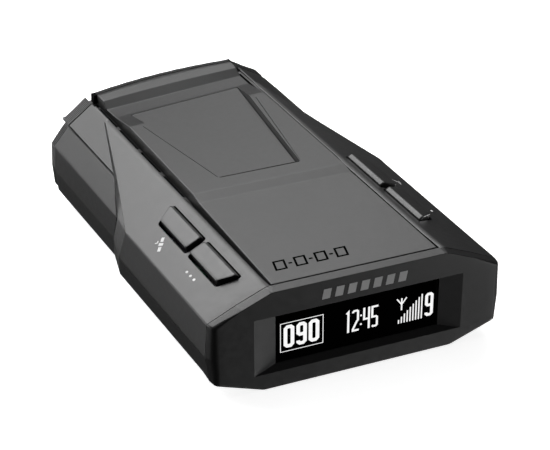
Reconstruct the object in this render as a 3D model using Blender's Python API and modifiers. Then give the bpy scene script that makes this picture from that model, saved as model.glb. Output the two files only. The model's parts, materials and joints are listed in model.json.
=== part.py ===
"""Windscreen radar detector with a turned display face, built as separate pieces.

Run with: blender --background --python part.py

Frame: X to the right as the driver sees the display, -Y towards the driver, +Y towards the
road, +Z up. The origin is at the middle of the base. Sizes below are millimetres, and MM
turns them into Blender's metres. Places along Y are counted back from the middle of the
display's top edge, and ORIGIN_BACK moves that point to the frame's origin.
"""
import math

import bmesh
import bpy
from mathutils import Matrix, Vector

MM = 0.001
GAP = 0.3
ORIGIN_BACK = 46.63

# Display face: turned towards the driver, and leaning back.
FACE_TOP = 25.4
FACE_TURN = math.tan(math.radians(7.25))
FACE_LEAN = math.tan(math.radians(3.39))
BEZEL_DEPTH = 1.95
SKIRT_DEPTH = 4.0

# Half sections (x, z), from the base round to the floor of the centre channel: the wide front and
# the narrow rear of the housing, outside and inside, then the nose and the display frame.
FRONT_OUT = [(23.2, 0.0), (35.0, 4.9), (35.75, 10.9), (35.15, 19.45),
             (28.3, 22.42), (20.7, 25.7), (20.6, 24.1)]
FRONT_IN = [(22.7, 1.6), (33.5, 5.9), (34.1, 10.9), (33.5, 18.55),
            (27.8, 20.95), (22.6, 22.55), (19.0, 22.55)]
REAR_OUT = [(23.2, 0.0), (32.0, 3.7), (32.6, 9.8), (32.5, 16.85),
            (28.15, 21.35), (20.8, 25.62), (20.6, 24.1)]
REAR_IN = [(22.7, 1.6), (30.4, 4.7), (31.0, 9.8), (30.9, 16.2),
           (27.3, 19.7), (22.6, 22.55), (19.0, 22.55)]
NOSE_OUT = [(22.8, 0.3), (31.8, 3.9), (32.4, 9.8), (32.3, 16.3),
            (27.9, 20.95), (20.9, 25.35), (20.6, 24.1)]
FACE_OUT = [(23.1, 0.0), (34.5, 4.9), (34.8, 10.9), (34.6, 19.5),
            (28.3, 22.35), (21.35, 25.4), (21.0, 25.4)]
SEAM_OUT = [(23.2, 0.0), (35.0, 4.9), (35.75, 10.9), (35.15, 19.5),
            (28.3, 22.75), (20.95, 26.15), (20.5, 26.15)]
SKIRT_OUT = [(22.2, 2.1), (32.8, 6.2), (33.5, 10.9), (32.9, 18.1),
             (27.4, 20.4), (22.4, 22.0), (18.6, 22.0)]

# The chevron where the wide front of the wings steps in to the narrow rear.
FOLD_FRONT = [50.2, 50.2, 49.0, 46.1, 65.1, 85.0, 85.0]
FOLD_REAR = [59.5, 59.5, 58.3, 56.3, 66.8, 85.6, 85.6]
# The line (y, z) that parts the upper housing from the lower one.
PARTING = [(-20.0, 10.9), (58.3, 10.1), (56.3, 16.9), (66.8, 21.35), (120.0, 21.35)]

HOUSING_END = 94.2
HOUSING_RAKE = 0.145
RAKE_START = 20.8
# The nose's road face in plan (x, y): flat in the middle, then swept back in two steps.
NOSE_PLAN = [(4.0, 98.9), (16.0, 98.3), (33.0, 96.1)]

# Centre panel: profile rows (y, z, turned with the face) along the channel, then its plan (x, y):
# tapered sides and a road edge swept back in flat steps. Neighbouring rows that differ in turn
# share one height, so that every face between them is flat.
PANEL_UNDER = 24.4
PANEL_ROWS = [
    (2.25, 26.2, True),
    (37.45, 26.5, True),
    (40.6, 27.2, True),
    (76.8, 27.2, False),
    (85.2, 25.8, False),
    (90.1, 25.8, False),
    (92.1, 27.12, False),
    (95.1, 27.37, False),
    (99.5, 26.75, False),
]
PANEL_SWEEP = 21.5
PANEL_PLAN = [(20.0, -4.0), (19.1, 60.0), (19.1, 97.1), (8.0, 98.0)]
SEAT_FLOOR = 26.1
SEAT_FRONT = (10.0, 45.4)
SEAT_REAR = (15.3, 83.9)

# Wings, buttons and valley slots.
WING_SLOPE = math.atan2(25.7 - 19.45, 35.15 - 20.7)
KEY_X = 26.1
KEY_HALF = 2.08
KEY_CLEAR = 0.6
KEY_TOP = 1.35
KEY_ROOT = -2.1
# Each button: name, near and far end, and which end is cut on a slant.
KEYS = {"rear": (28.9, 44.0, "far"), "front": (12.3, 27.2, "near")}
KEY_SLANT = 2.2
SLOT_X = (19.45, 20.45)
SLOTS_Y = [(45.7, 56.0), (58.0, 68.2), (69.9, 80.0), (81.7, 91.5)]

# Display recess and window, on the face plane.
RECESS_MOUTH = (-25.45, 25.45, 4.34, 19.15)
RECESS_FLOOR = (-19.75, 20.15, 5.75, 18.7)
RECESS_DEPTH = 1.2
WINDOW_THICK = 0.9

# Screw posts (x, y) and heights.
POSTS = [(20.0, 12.5), (21.0, 84.5)]
POST_SPLIT = 7.2
POST_TOP = 22.9
BOARD_POSTS = [(-20.0, 49.0), (20.0, 49.0)]
BOARD_Z = (9.0, 10.2)

# Microwave horn.
HORN_LOW = (-17.0, 60.0, 4.5)
HORN_HIGH = (7.0, 91.0, 19.5)

ROUND = 24

for old in list(bpy.data.objects):
    bpy.data.objects.remove(old, do_unlink=True)
parts = bpy.data.collections.new("radar_detector")
cutters = bpy.data.collections.new("cutters")
for group in (parts, cutters):
    bpy.context.scene.collection.children.link(group)

PALETTE = {
    "housing_plastic": ((0.11, 0.11, 0.112, 1.0), 0.55, 0.0),
    "panel_plastic": ((0.085, 0.085, 0.087, 1.0), 0.5, 0.0),
    "bezel_plastic": ((0.03, 0.03, 0.031, 1.0), 0.5, 0.0),
    "key_plastic": ((0.07, 0.07, 0.072, 1.0), 0.5, 0.0),
    "window_plastic": ((0.002, 0.002, 0.002, 1.0), 0.08, 0.0),
    "board_green": ((0.02, 0.12, 0.05, 1.0), 0.4, 0.0),
    "chip_black": ((0.01, 0.01, 0.01, 1.0), 0.4, 0.0),
    "cast_metal": ((0.6, 0.6, 0.6, 1.0), 0.4, 1.0),
    "steel": ((0.5, 0.5, 0.5, 1.0), 0.3, 1.0),
    "ceramic": ((0.75, 0.68, 0.55, 1.0), 0.5, 0.0),
    "flex_amber": ((0.45, 0.2, 0.03, 1.0), 0.4, 0.0),
    "cone_black": ((0.02, 0.02, 0.02, 1.0), 0.8, 0.0),
    "lens_clear": ((0.5, 0.05, 0.06, 1.0), 0.05, 0.0),
}


def material(slot):
    """The material of one slot, made on first use."""
    found = bpy.data.materials.get(slot)
    if found:
        return found
    colour, roughness, metallic = PALETTE[slot]
    made = bpy.data.materials.new(slot)
    made.use_nodes = True
    shader = made.node_tree.nodes["Principled BSDF"]
    shader.inputs["Base Color"].default_value = colour
    shader.inputs["Roughness"].default_value = roughness
    shader.inputs["Metallic"].default_value = metallic
    return made


def place(x, y, z):
    """A point in Blender's metres from millimetres, y counted back from the display's top edge."""
    return Vector((x, y - ORIGIN_BACK, z)) * MM


def face_y(x, z, back=0.0):
    """How far back the display face is at x and z, with a distance behind it."""
    return back - FACE_TURN * x + FACE_LEAN * (z - FACE_TOP)


def add_mesh(name, bm, slot):
    """An object from a bmesh: a part with a material slot, or a hidden cutter without one."""
    bmesh.ops.recalc_face_normals(bm, faces=bm.faces)
    mesh = bpy.data.meshes.new(name)
    bm.to_mesh(mesh)
    bm.free()
    made = bpy.data.objects.new(name, mesh)
    if slot:
        mesh.materials.append(material(slot))
        parts.objects.link(made)
    else:
        cutters.objects.link(made)
        made.hide_render = True
        made.display_type = "WIRE"
    return made


def box(name, low, high, slot=None):
    """A block between two corners in millimetres."""
    bm = bmesh.new()
    bmesh.ops.create_cube(bm, size=1.0)
    a, b = place(*low), place(*high)
    size = b - a
    bmesh.ops.scale(bm, vec=size, verts=bm.verts)
    bmesh.ops.translate(bm, vec=(a + b) / 2, verts=bm.verts)
    return add_mesh(name, bm, slot)


def rod(name, centre, radius, length, axis="Z", slot=None, sides=ROUND):
    """A round bar along an axis, from the middle of its lower end."""
    bm = bmesh.new()
    bmesh.ops.create_cone(bm, cap_ends=True, segments=sides, radius1=radius * MM,
                          radius2=radius * MM, depth=length * MM)
    bmesh.ops.translate(bm, vec=(0, 0, length * MM / 2), verts=bm.verts)
    if axis == "Y":
        bmesh.ops.rotate(bm, matrix=Matrix.Rotation(-math.pi / 2, 3, "X"), verts=bm.verts)
    if axis == "X":
        bmesh.ops.rotate(bm, matrix=Matrix.Rotation(math.pi / 2, 3, "Y"), verts=bm.verts)
    bmesh.ops.translate(bm, vec=place(*centre), verts=bm.verts)
    return add_mesh(name, bm, slot)


def prism(name, outline, low, high, slot=None, across="Z"):
    """A flat outline pushed through from low to high, along Z for (x, y) points or X for (y, z)."""
    bm = bmesh.new()
    if across == "Z":
        verts = [bm.verts.new(place(x, y, low)) for x, y in outline]
        push = Vector((0, 0, (high - low) * MM))
    else:
        verts = [bm.verts.new(place(low, y, z)) for y, z in outline]
        push = Vector(((high - low) * MM, 0, 0))
    face = bm.faces.new(verts)
    moved = bmesh.ops.extrude_face_region(bm, geom=[face], use_keep_orig=True)
    bmesh.ops.translate(bm, vec=push,
                        verts=[v for v in moved["geom"] if isinstance(v, bmesh.types.BMVert)])
    return add_mesh(name, bm, slot)


def turned(name, profile, centre, slot, axis="Z", sides=ROUND):
    """A turned piece: (radius, height) points down its outer side, spun by a Screw modifier."""
    mesh = bpy.data.meshes.new(name)
    points = [(r * MM, 0.0, h * MM) for r, h in profile]
    mesh.from_pydata(points, [(i, i + 1) for i in range(len(points) - 1)], [])
    mesh.materials.append(material(slot))
    made = bpy.data.objects.new(name, mesh)
    parts.objects.link(made)
    made.location = place(*centre)
    if axis == "Y":
        made.rotation_euler = (-math.pi / 2, 0, 0)
    spin = made.modifiers.new("spin", "SCREW")
    spin.steps = sides
    spin.render_steps = sides
    spin.use_merge_vertices = True
    spin.merge_threshold = 0.00001
    return made


def cut(target, cutter, operation="DIFFERENCE"):
    """Cut, join or keep the overlap of two closed meshes."""
    step = target.modifiers.new("cut", "BOOLEAN")
    step.operation = operation
    step.solver = "EXACT"
    step.object = cutter
    return target


def both_sides(half, depth):
    """A closed ring of points from a half section: right side up, left side down."""
    right = [(x, depth(x, z, i), z) for i, (x, z) in enumerate(half)]
    left = [(-x, depth(-x, z, i), z) for i, (x, z) in enumerate(half)]
    return right + left[::-1]


def skin(bm, rings):
    """Rows of faces that join each ring of points to the next one."""
    rows = [[bm.verts.new(place(*p)) for p in ring] for ring in rings]
    for near, far in zip(rows, rows[1:]):
        for i in range(len(near)):
            j = (i + 1) % len(near)
            bm.faces.new((near[i], near[j], far[j], far[i]))
    return rows


def solid_loft(name, rings, slot=None):
    """A closed body through rings of points with the same count."""
    bm = bmesh.new()
    rows = skin(bm, rings)
    bm.faces.new(rows[0])
    bm.faces.new(rows[-1])
    bmesh.ops.triangulate(bm, faces=bm.faces)
    return add_mesh(name, bm, slot)


def tube_loft(name, outer, inner, slot=None):
    """An open-ended wall between outer and inner rings of points."""
    bm = bmesh.new()
    out_rows, in_rows = skin(bm, outer), skin(bm, inner)
    for end in (0, -1):
        a, b = out_rows[end], in_rows[end]
        for i in range(len(a)):
            j = (i + 1) % len(a)
            bm.faces.new((a[i], a[j], b[j], b[i]))
    bmesh.ops.triangulate(bm, faces=bm.faces)
    return add_mesh(name, bm, slot)


def shifted(line, distance):
    """A polyline moved sideways by a distance, with its corners mitred."""
    moved = []
    for i, (y, z) in enumerate(line):
        normals = []
        for a, b in ((i - 1, i), (i, i + 1)):
            if a < 0 or b >= len(line):
                continue
            run = Vector(line[b]) - Vector(line[a])
            normals.append(Vector((-run.y, run.x)).normalized())
        mean = sum(normals, Vector((0.0, 0.0))).normalized()
        reach = distance / mean.dot(normals[0])
        moved.append((y + mean.x * reach, z + mean.y * reach))
    return moved


def housing_wall(name, slot=None):
    """The whole hollow housing before it is parted into its two shells."""
    front = lambda x, z, i: face_y(x, z, BEZEL_DEPTH + GAP)
    end = lambda x, z, i: NOSE_PLAN[0][1]
    fold_a = lambda x, z, i: FOLD_FRONT[i]
    fold_b = lambda x, z, i: FOLD_REAR[i]
    outer = [both_sides(FRONT_OUT, front), both_sides(FRONT_OUT, fold_a),
             both_sides(REAR_OUT, fold_b), both_sides(REAR_OUT, end)]
    inner = [both_sides(FRONT_IN, front), both_sides(FRONT_IN, fold_a),
             both_sides(REAR_IN, fold_b), both_sides(REAR_IN, end)]
    wall = tube_loft(name, outer, inner, slot)
    return cut(wall, prism("beyond_" + name, end_line(0.0) + [(45.0, 110.0), (-45.0, 110.0)], -10.0, 40.0))


def end_line(shift):
    """Plan outline (x, y) of the housing's road end: straight across the channel, raked on the wings."""
    side = HOUSING_END - HOUSING_RAKE * (45.0 - RAKE_START) + shift
    middle = HOUSING_END + shift
    return [(-45.0, side), (-RAKE_START, middle), (RAKE_START, middle), (45.0, side)]


def key_outline(ends, side, grow=0.0):
    """A button's corners (u, y) on its wing, u running down the slope, one end cut on a slant."""
    near, far, slanted = ends
    near_out, far_out = near, far
    if slanted == "far":
        far_out = far - KEY_SLANT
    else:
        near_out = near + KEY_SLANT
    half = KEY_HALF + grow
    corners = [(-half, near - grow), (half, near_out - grow), (half, far_out + grow), (-half, far + grow)]
    return [(side * u, y) for u, y in corners]


def wing_frame(side, y):
    """An empty on a wing's surface: its Z is the wing's outward normal, its X runs along the slope."""
    name = "wing_%s_%d" % ("right" if side > 0 else "left", round(y))
    anchor = bpy.data.objects.new(name, None)
    parts.objects.link(anchor)
    anchor.location = place(side * KEY_X, y, 25.7 - math.tan(WING_SLOPE) * (KEY_X - 20.7))
    anchor.rotation_euler = (0, side * WING_SLOPE, 0)
    return anchor


def wing_block(name, anchor, outline, low, high, slot=None):
    """A prism on a wing: outline (u, y) about the anchor, from low to high along the normal."""
    bm = bmesh.new()
    centre_y = anchor.location.y / MM + ORIGIN_BACK
    verts = [bm.verts.new(Vector((u, y - centre_y, low)) * MM) for u, y in outline]
    face = bm.faces.new(verts)
    moved = bmesh.ops.extrude_face_region(bm, geom=[face], use_keep_orig=True)
    bmesh.ops.translate(bm, vec=(0, 0, (high - low) * MM),
                        verts=[v for v in moved["geom"] if isinstance(v, bmesh.types.BMVert)])
    made = add_mesh(name, bm, slot)
    made.parent = anchor
    return made


def wing_rod(name, anchor, radius, low, high, slot=None):
    """A round pin on a wing's normal."""
    bm = bmesh.new()
    bmesh.ops.create_cone(bm, cap_ends=True, segments=ROUND, radius1=radius * MM,
                          radius2=radius * MM, depth=(high - low) * MM)
    bmesh.ops.translate(bm, vec=(0, 0, (high + low) * MM / 2), verts=bm.verts)
    made = add_mesh(name, bm, slot)
    made.parent = anchor
    return made


def bevel(target, width, segments=2, angle=30.0):
    """Rounded edges on a part."""
    step = target.modifiers.new("edge", "BEVEL")
    step.width = width * MM
    step.segments = segments
    step.limit_method = "ANGLE"
    step.angle_limit = math.radians(angle)
    return target


def make_keys():
    """Buttons, plungers, switches and their boards. Returns the cutters for the button openings."""
    openings = []
    for side, side_name in ((-1, "left"), (1, "right")):
        for end_name, ends in KEYS.items():
            tag = "%s_%s" % (side_name, end_name)
            middle = (ends[0] + ends[1]) / 2
            anchor = wing_frame(side, middle)
            outline = key_outline(ends, side)
            cap = wing_block("button_" + tag, anchor, outline, KEY_ROOT, KEY_TOP, "key_plastic")
            bevel(cap, 0.35, 2)
            wing_rod("plunger_" + tag, anchor, 1.3, -5.3, KEY_ROOT - GAP, "chip_black")
            square = [(-3.0, middle - 3.0), (3.0, middle - 3.0), (3.0, middle + 3.0), (-3.0, middle + 3.0)]
            base = wing_block("switch_" + tag, anchor, square, -6.6, -4.3, "chip_black")
            cut(base, wing_rod("well_" + tag, anchor, 1.7, -6.2, -3.0))
            hole = key_outline(ends, side, KEY_CLEAR)
            openings.append(wing_block("opening_" + tag, anchor, hole, -4.0, 4.0))
        near, far = 16.4, 40.6
        anchor = wing_frame(side, (near + far) / 2)
        strip = [(-3.4, near), (3.4, near), (3.4, far), (-3.4, far)]
        wing_block("key_board_" + side_name, anchor, strip, -7.9, -6.9, "board_green")
    return openings


def make_upper(openings):
    """Upper housing: everything above the parting line, with its openings and screw posts."""
    upper = housing_wall("upper_housing", "housing_plastic")
    line = shifted(PARTING, GAP / 2)
    below = prism("below_parting", line + [(120.0, -10.0), (-20.0, -10.0)], -45.0, 45.0, across="X")
    cut(upper, below)
    for x, y in POSTS:
        for side in (-1, 1):
            tag = "%d_%d" % (side * x, y)
            post = rod("post_" + tag, (side * x, y, POST_SPLIT + GAP), 3.0, POST_TOP - POST_SPLIT - GAP)
            cut(upper, post, "UNION")
            cut(upper, rod("post_bore_" + tag, (side * x, y, 0.0), 1.3, 16.4))
    for opening in openings:
        cut(upper, opening)
    for side in (-1, 1):
        for near, far in SLOTS_Y:
            a, b = sorted((side * SLOT_X[0], side * SLOT_X[1]))
            cut(upper, box("slot_%d_%d" % (side, near), (a, near, 21.0), (b, far, 26.0)))
    cut(upper, rod("jack_mouth", (31.0, 20.0, 14.2), 2.6, 8.0, axis="X"))
    return upper


def make_lower():
    """Lower housing: the tray below the parting line, with screw bosses and board posts."""
    lower = housing_wall("lower_housing", "housing_plastic")
    line = shifted(PARTING, -GAP / 2)
    above = prism("above_parting", line + [(120.0, 60.0), (-20.0, 60.0)], -45.0, 45.0, across="X")
    cut(lower, above)
    for x, y in POSTS:
        for side in (-1, 1):
            tag = "%d_%d" % (side * x, y)
            cut(lower, rod("boss_" + tag, (side * x, y, 0.8), 3.7, POST_SPLIT - 0.8), "UNION")
            cut(lower, rod("head_bore_" + tag, (side * x, y, -1.0), 2.6, 3.2))
            cut(lower, rod("shank_bore_" + tag, (side * x, y, -1.0), 1.3, 12.0))
    for x, y in BOARD_POSTS:
        cut(lower, rod("board_post_%d" % x, (x, y, 0.8), 2.6, BOARD_Z[0] - GAP - 0.8), "UNION")
        cut(lower, rod("board_post_bore_%d" % x, (x, y, 4.0), 1.0, 9.0))
    return lower


def make_bezel():
    """Display frame with its sloped recess, its window opening, and a skirt inside the housing."""
    rings = [both_sides(half, lambda x, z, i, back=back: face_y(x, z, back))
             for half, back in ((FACE_OUT, 0.0), (SEAM_OUT, BEZEL_DEPTH), (SKIRT_OUT, BEZEL_DEPTH),
                                (SKIRT_OUT, SKIRT_DEPTH))]
    bezel = solid_loft("front_bezel", rings, "bezel_plastic")

    def rectangle(sides, back):
        left, right, low, high = sides
        corners = ((left, low), (right, low), (right, high), (left, high))
        return [(x, face_y(x, z, back), z) for x, z in corners]

    grow = 0.01
    mouth = tuple(a + b for a, b in zip(RECESS_MOUTH, (-grow, grow, -grow, grow)))
    recess = solid_loft("recess", [rectangle(mouth, -grow), rectangle(RECESS_FLOOR, RECESS_DEPTH),
                                   rectangle(RECESS_FLOOR, SKIRT_DEPTH + 2.0)])
    cut(bezel, recess)
    left, right, low, high = RECESS_FLOOR
    inset = (left + GAP, right - GAP, low + GAP, high - GAP)
    front = RECESS_DEPTH + 0.15
    solid_loft("display_window", [rectangle(inset, front), rectangle(inset, front + WINDOW_THICK)],
               "window_plastic")
    back = front + WINDOW_THICK + GAP
    solid_loft("display_module", [rectangle(inset, back), rectangle(inset, back + 1.6)], "chip_black")
    return bezel


def make_panel():
    """Centre panel: one profile swept across the channel, cut to its plan, with the bracket seat."""
    def ring(x):
        skew = -FACE_TURN * x
        points = [(x, y + skew * is_turned, z) for y, z, is_turned in PANEL_ROWS]
        last, first = PANEL_ROWS[-1][0], PANEL_ROWS[0][0]
        return points + [(x, last, PANEL_UNDER), (x, first + skew, PANEL_UNDER)]

    panel = solid_loft("center_panel", [ring(-PANEL_SWEEP), ring(PANEL_SWEEP)], "panel_plastic")
    plan = PANEL_PLAN + [(-x, y) for x, y in reversed(PANEL_PLAN)]
    cut(panel, prism("panel_plan", plan, 20.0, 32.0), "INTERSECT")
    half_front, y_front = SEAT_FRONT
    half_rear, y_rear = SEAT_REAR
    skew = FACE_TURN * half_front
    outline = [(-half_front, y_front + skew), (half_front, y_front - skew), (half_rear, y_rear),
               (-half_rear, y_rear)]
    cut(panel, prism("bracket_seat", outline, SEAT_FLOOR, 30.0))
    return panel


def make_nose():
    """Nose cap that closes the road end, and the dark window in it."""
    start = lambda x, z, i: HOUSING_END - 6.0
    tip = lambda x, z, i: NOSE_PLAN[0][1] + 1.0
    nose = solid_loft("nose_cap", [both_sides(NOSE_OUT[:-1], start), both_sides(NOSE_OUT[:-1], tip)],
                      "housing_plastic")
    road_face = [(-x, y) for x, y in reversed(NOSE_PLAN)] + NOSE_PLAN
    cut(nose, prism("after_nose", road_face + [(33.0, 110.0), (-33.0, 110.0)], -10.0, 40.0))
    cut(nose, prism("before_nose", end_line(GAP)[::-1] + [(-45.0, 60.0), (45.0, 60.0)], -10.0, 40.0))
    cut(nose, box("nose_channel", (-20.6, 90.0, 24.1), (20.6, 105.0, 30.0)))
    cut(nose, box("nose_opening", (-24.0, 90.0, 4.0), (24.0, 105.0, 20.0)))
    box("nose_window", (-23.7, 94.6, 4.3), (23.7, 96.2, 19.7), "window_plastic")
    return nose


def make_electronics():
    """Boards, chips, aerials, speaker and jack, all clear of each other."""
    board = box("main_board", (-26.0, 16.5, BOARD_Z[0]), (26.0, 55.0, BOARD_Z[1]), "board_green")
    for x, y in BOARD_POSTS:
        cut(board, rod("board_hole_%d" % x, (x, y, 8.0), 1.4, 4.0))
    box("processor_chip", (-16.0, 20.0, BOARD_Z[1] + GAP), (-6.0, 30.0, BOARD_Z[1] + GAP + 1.0), "chip_black")
    rod("backup_capacitor", (17.0, 27.0, BOARD_Z[1] + GAP), 5.0, 3.6, slot="steel")
    box("gps_antenna", (-7.8, 8.4, 17.0), (7.8, 23.6, 21.0), "ceramic")
    horn = box("radar_horn", HORN_LOW, HORN_HIGH, "cast_metal")
    x0, y0, z0 = HORN_LOW
    x1, y1, z1 = HORN_HIGH
    flare = []
    for y, side, rise in ((y0 + 8, 7.0, 4.5), (y1 + 0.1, 1.2, 1.2)):
        left, right, low, high = x0 + side, x1 - side, z0 + rise, z1 - rise
        flare.append([(left, y, low), (right, y, low), (right, y, high), (left, y, high)])
    cut(horn, solid_loft("flare", flare))
    box("rf_board", (-17.0, 58.3, 4.5), (17.0, 59.5, 19.5), "board_green")
    box("rf_shield", (-15.0, 53.0, 11.0), (5.0, 57.9, 19.0), "steel")
    turned("laser_lens", [(0, 2.6), (2.4, 2.1), (4.2, 0.8), (4.2, 0.0), (0, 0.0)], (13.0, 88.0, 12.0),
           "lens_clear", axis="Y")
    rod("laser_sensor", (13.0, 70.0, 12.0), 2.5, 5.0, axis="Y", slot="chip_black")
    basket = [(12.4, 5.0), (12.4, 4.2), (11.0, 1.0), (7.5, 0.0), (6.5, 0.0), (6.5, 0.8), (7.2, 0.8),
              (10.2, 1.7), (11.4, 4.4), (11.4, 5.0), (12.4, 5.0)]
    turned("speaker_frame", basket, (0.0, 37.0, 14.6), "chip_black")
    turned("speaker_cone", [(0, 3.0), (3.0, 2.4), (10.6, 4.9), (10.6, 4.5), (3.0, 1.9), (0, 2.4)],
           (0.0, 37.0, 14.7), "cone_black")
    rod("speaker_magnet", (0.0, 37.0, 12.2), 6.0, 3.4, slot="steel")
    jack = box("power_jack", (27.0, 16.5, 11.2), (33.0, 23.5, 17.2), "chip_black")
    cut(jack, rod("jack_bore", (28.5, 20.0, 14.2), 1.9, 8.0, axis="X"))
    bend = [(6.9, 8.2), (7.2, 8.2), (9.4, 8.4), (16.2, 8.4), (16.2, 8.7), (9.2, 8.7), (6.9, 8.5)]
    prism("display_flex", bend, -7.0, 7.0, "flex_amber", across="X")


def make_screws():
    """Housing screws from below, and the two screws that hold the main board."""
    long_screw = [(0, 13.0), (0.7, 13.0), (1.0, 12.4), (1.0, 1.4), (2.2, 1.4), (2.2, 0.3), (1.9, 0.0),
                  (0, 0.0)]
    short_screw = [(0, 1.3), (1.5, 1.3), (1.9, 0.9), (1.9, 0.0), (0.7, 0.0), (0.7, -5.6), (0, -5.6)]
    for x, y in POSTS:
        for side in (-1, 1):
            name = "housing_screw_%s_%s" % ("right" if side > 0 else "left", "front" if y < 50 else "rear")
            turned(name, long_screw, (side * x, y, 0.5), "steel", sides=16)
    for x, y in BOARD_POSTS:
        name = "board_screw_%s" % ("right" if x > 0 else "left")
        turned(name, short_screw, (x, y, BOARD_Z[1] + GAP), "steel", sides=16)


key_openings = make_keys()
make_upper(key_openings)
make_lower()
make_bezel()
make_panel()
make_nose()
make_electronics()
make_screws()
for shape in parts.objects:
    if shape.type == "MESH":
        shape.data.shade_smooth()
        shape.data.set_sharp_from_angle(angle=math.radians(25))
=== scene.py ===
"""Looks of a windscreen radar detector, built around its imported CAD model.

Everything is in the frame's metres. Sizes below are millimetres, and MM turns them into metres.
Places along Y are counted back from the middle of the display's top edge, as in the CAD.
"""
import json
import math

import bmesh
import bpy
from mathutils import Matrix, Vector


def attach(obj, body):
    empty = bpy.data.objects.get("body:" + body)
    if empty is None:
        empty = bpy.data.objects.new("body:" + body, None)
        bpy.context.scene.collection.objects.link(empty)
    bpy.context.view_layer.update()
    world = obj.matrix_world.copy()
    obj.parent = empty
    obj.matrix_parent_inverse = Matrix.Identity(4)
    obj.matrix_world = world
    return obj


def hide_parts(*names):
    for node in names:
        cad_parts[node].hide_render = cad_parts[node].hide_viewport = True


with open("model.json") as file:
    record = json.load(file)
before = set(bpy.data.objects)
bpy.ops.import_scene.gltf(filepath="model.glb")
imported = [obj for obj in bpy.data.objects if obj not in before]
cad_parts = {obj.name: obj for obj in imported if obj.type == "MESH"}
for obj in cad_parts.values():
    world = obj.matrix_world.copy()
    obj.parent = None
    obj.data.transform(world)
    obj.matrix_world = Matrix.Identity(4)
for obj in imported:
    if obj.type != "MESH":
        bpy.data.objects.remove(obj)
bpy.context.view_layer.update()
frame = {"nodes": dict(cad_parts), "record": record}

MM = 0.001
ORIGIN_BACK = 46.63
GAP = 0.3

# Display face: turned towards the driver, and leaning back.
FACE_TOP = 25.4
FACE_TURN = math.tan(math.radians(7.25))
FACE_LEAN = math.tan(math.radians(3.39))
FACE_HALF = (35.0, 12.7)
BEZEL_DEPTH = 2.2
SKIRT_DEPTH = 4.0
SEAM_GAP = 0.1

# Sides of the housing's outer half sections (x, z), from the base up to the wing.
FRONT_OUT = [(23.2, 0.0), (35.0, 4.9), (35.75, 10.9), (35.15, 19.45)]
REAR_OUT = [(23.2, 0.0), (32.0, 3.7), (32.6, 9.8), (32.5, 16.85)]
# Half sections of the hollow, the nose cap and the display frame, from the base to the channel.
FRONT_IN = [(22.7, 1.6), (33.5, 5.9), (34.1, 10.9), (33.5, 18.55), (27.8, 20.95), (22.6, 22.55),
            (19.0, 22.55)]
REAR_IN = [(22.7, 1.6), (30.4, 4.7), (31.0, 9.8), (30.9, 16.2), (27.3, 19.7), (22.6, 22.55), (19.0, 22.55)]
NOSE_OUT = [(22.8, 0.3), (31.6, 3.9), (32.2, 9.8), (32.0, 16.3), (27.95, 20.55), (27.2, 20.9), (28.25, 21.55),
            (20.75, 25.75)]
FACE_OUT = [(23.1, 0.0), (34.4, 3.9), (34.8, 10.9), (34.6, 19.45), (28.3, 22.46), (21.3, 25.4), (20.6, 25.48)]
SEAM_OUT = [(23.2, 0.0), (34.9, 4.1), (35.75, 10.9), (35.15, 19.45), (28.3, 22.73), (21.4, 25.64),
            (20.3, 25.78)]
SKIRT_OUT = [(22.2, 2.1), (32.8, 6.2), (33.5, 10.9), (32.9, 18.1), (27.4, 20.4), (22.4, 22.0), (18.6, 22.0)]
# The top of each half section (x, z): wing, rounded crest, slot ledge, and the channel's floor.
CREST_SEAM = [(28.3, 22.76), (21.75, 25.56), (20.85, 25.76), (20.3, 25.66), (20.2, 25.5), (20.19, 24.95),
              (20.18, 24.1)]
CREST_FRONT = [(28.3, 22.42), (21.75, 25.3), (20.85, 25.45), (20.32, 25.35), (20.2, 25.2), (20.19, 24.95),
               (20.18, 24.1)]
CREST_REAR = [(28.3, 22.42), (21.75, 25.27), (20.85, 25.42), (20.52, 25.36), (20.45, 25.0), (19.62, 24.92),
              (19.58, 24.1)]
CREST_END = [(28.15, 21.4), (21.75, 25.09), (20.95, 25.54), (20.55, 25.48), (20.45, 25.0), (19.62, 24.92),
             (19.58, 24.1)]
CREST_RISE = 8.0
LEDGE_START = (40.0, 44.0)
# How far from each section the lengthwise lines start to turn.
FOLD_WIDTHS = [0.35, 2.3, 0.35, 0.35, 0.35, 0.35, 0.35]
# The right crest: moved out, and its first points after the wing lowered.
CREST_OFFSET = 0.45
CREST_DROP = (0.19, 0.12, 0.1)
# How far from each corner of the housing its rounding starts.
ROUND_OUT = [0.6, 0.5, 0.4, 0.35, 0.3, 0.7, 0.5, 0.15, 0.1, 0.05, 0.05]

# The chevron where the wide front of the wings steps in to the narrow rear.
FOLD_FRONT = [50.2, 50.2, 49.0, 46.1, 65.1] + [85.0] * 6
FOLD_REAR = [59.5, 59.5, 58.3, 56.3, 66.8] + [85.6] * 6
# The line (y, z) where the two shells meet, and half the width of its groove at each point.
PARTING = [(-20.0, 10.9), (58.3, 10.1), (56.3, 16.9), (66.8, 21.35), (120.0, 21.35)]
GROOVE = [0.03, 0.03, 0.22, 0.22, 0.22]
# The road end: the housing's rear edge, its rake on the wings, and the nose cap's plan (x, y).
HOUSING_END = 94.2
HOUSING_RAKE = 0.145
RAKE_START = 20.8
NOSE_END = 98.9
NOSE_PLAN = [(4.0, 98.9), (16.0, 98.85), (33.0, 96.1)]
NOSE_PLAN_LOW = [(4.0, 98.9), (16.0, 98.2), (33.0, 95.6)]
NOSE_SPLIT = 21.1

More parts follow.
